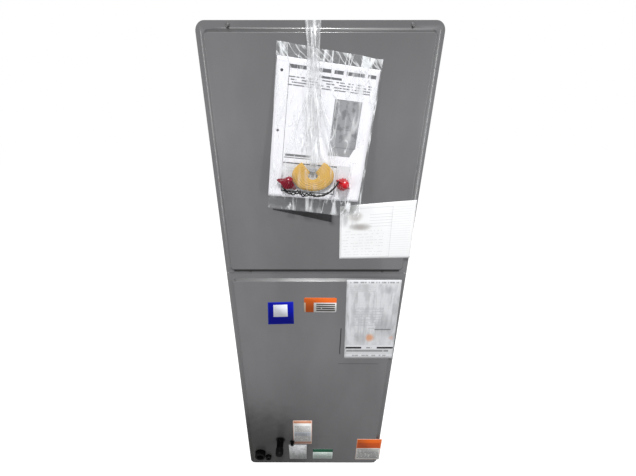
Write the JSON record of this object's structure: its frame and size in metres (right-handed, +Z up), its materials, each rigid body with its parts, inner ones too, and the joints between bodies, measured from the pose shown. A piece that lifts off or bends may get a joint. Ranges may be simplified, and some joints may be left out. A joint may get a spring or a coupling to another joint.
{
  "type": "upright air handler",
  "caption": "Upright air handler cabinet with two lift-off doors, cooling coil, drain pan, centrifugal blower, filter and a bag of papers taped to the upper door.",
  "frame": {"origin": "on the floor under the middle of the whole object's box", "axes": "+Z up, -Y out of the door front, +X to the right as seen from the front"},
  "size_m": [0.502, 0.6004, 1.481],
  "materials": {
    "case_paint": "satin grey baked paint",
    "galvanised": "zinc-coated sheet",
    "screw_steel": "zinc-plated",
    "insulation": "faced glass-fibre board, matt",
    "aluminium_fins": "stacked fin edges",
    "copper": "drawn copper, slightly dulled",
    "black_plastic": "moulded, fine grain",
    "white_plastic": "moulded, smooth",
    "black_rubber": "soft, matt",
    "blower_steel": "zinc-coated, pressed",
    "motor_black": "black enamel",
    "shaft_steel": "ground steel",
    "capacitor_can": "drawn can",
    "board_green": "coated board",
    "transformer_iron": "varnished laminations",
    "filter_board": "card",
    "filter_cloth": "pleated synthetic fibre",
    "clear_film": "clear film, crinkled",
    "paper": "plain printed-style paper, greeked",
    "tape": "translucent adhesive tape",
    "yellow_strip": "foam strip",
    "red_plastic": "moulded"
  },
  "bodies": {
    "cabinet": {"base_frame": "galvanised", "right_side_panel": "case_paint", "left_side_panel": "case_paint", "back_panel": "case_paint", "top_panel": "case_paint", "center_rail": "galvanised", "right_liner": "insulation", "left_liner": "insulation", "back_liner": "insulation", "filter_rails": "galvanised", "pan_ledges": "galvanised", "drain_pan": "black_plastic", "drain_fitting": "black_plastic", "drain_plug": "black_plastic", "right_coil_slab": "aluminium_fins", "left_coil_slab": "aluminium_fins", "coil_tube_sheets": "galvanised", "coil_return_bends": "copper", "coil_delta_plates": "galvanised", "coil_top_cap": "galvanised", "suction_header": "copper", "liquid_line": "copper", "distributor": "copper", "line_caps": "black_rubber", "line_grommets": "black_rubber", "blower_deck": "galvanised", "blower_scroll": "blower_steel", "blower_side_right": "blower_steel", "blower_side_left": "blower_steel", "blower_cutoff": "blower_steel", "motor_shell": "motor_black", "motor_end_bells": "motor_black", "motor_mount": "galvanised", "control_box": "galvanised", "heater_blank_plate": "galvanised", "transformer": "transformer_iron", "control_board": "board_green", "terminal_block": "black_plastic", "run_capacitor": "capacitor_can", "capacitor_strap": "galvanised", "door_switch": "black_plastic"},
    "blower_rotor": {"blower_wheel": "blower_steel", "motor_shaft": "shaft_steel"},
    "switch_button": {"switch_plunger": "white_plastic"},
    "upper_door": {"upper_door_panel": "case_paint", "upper_door_insulation": "insulation", "upper_door_screws": "screw_steel", "literature_bag": "clear_film", "instruction_sheets": "paper", "sealing_strip": "yellow_strip", "wire_caps": "red_plastic", "hanging_tape": "tape"},
    "lower_door": {"lower_door_panel": "case_paint", "lower_door_insulation": "insulation", "lower_door_screws": "screw_steel"},
    "filter": {"filter_frame": "filter_board", "filter_media": "filter_cloth"}
  },
  "joints": [
    {"name": "blower_spin", "type": "hinge", "parent": "cabinet", "child": "blower_rotor", "pos_m": [0, 0.03725, 1.12], "axis": [1, 0, 0], "continuous": true},
    {"name": "upper_door_pull", "type": "slide", "parent": "cabinet", "child": "upper_door", "axis": [0, -1, 0], "range_m": [0, 0.45]},
    {"name": "lower_door_pull", "type": "slide", "parent": "cabinet", "child": "lower_door", "axis": [0, -1, 0], "range_m": [0, 0.45]},
    {"name": "filter_slide", "type": "slide", "parent": "cabinet", "child": "filter", "axis": [0, -1, 0], "range_m": [0, 0.36]},
    {"name": "switch_press", "type": "slide", "parent": "cabinet", "child": "switch_button", "axis": [0, 1, 0], "range_m": [0, 0.003], "stiffness_N_per_m": 400}
  ],
  "couplings": [
    {"joint": "filter_slide", "follows": "lower_door_pull", "ratio": 0.8}
  ]
}
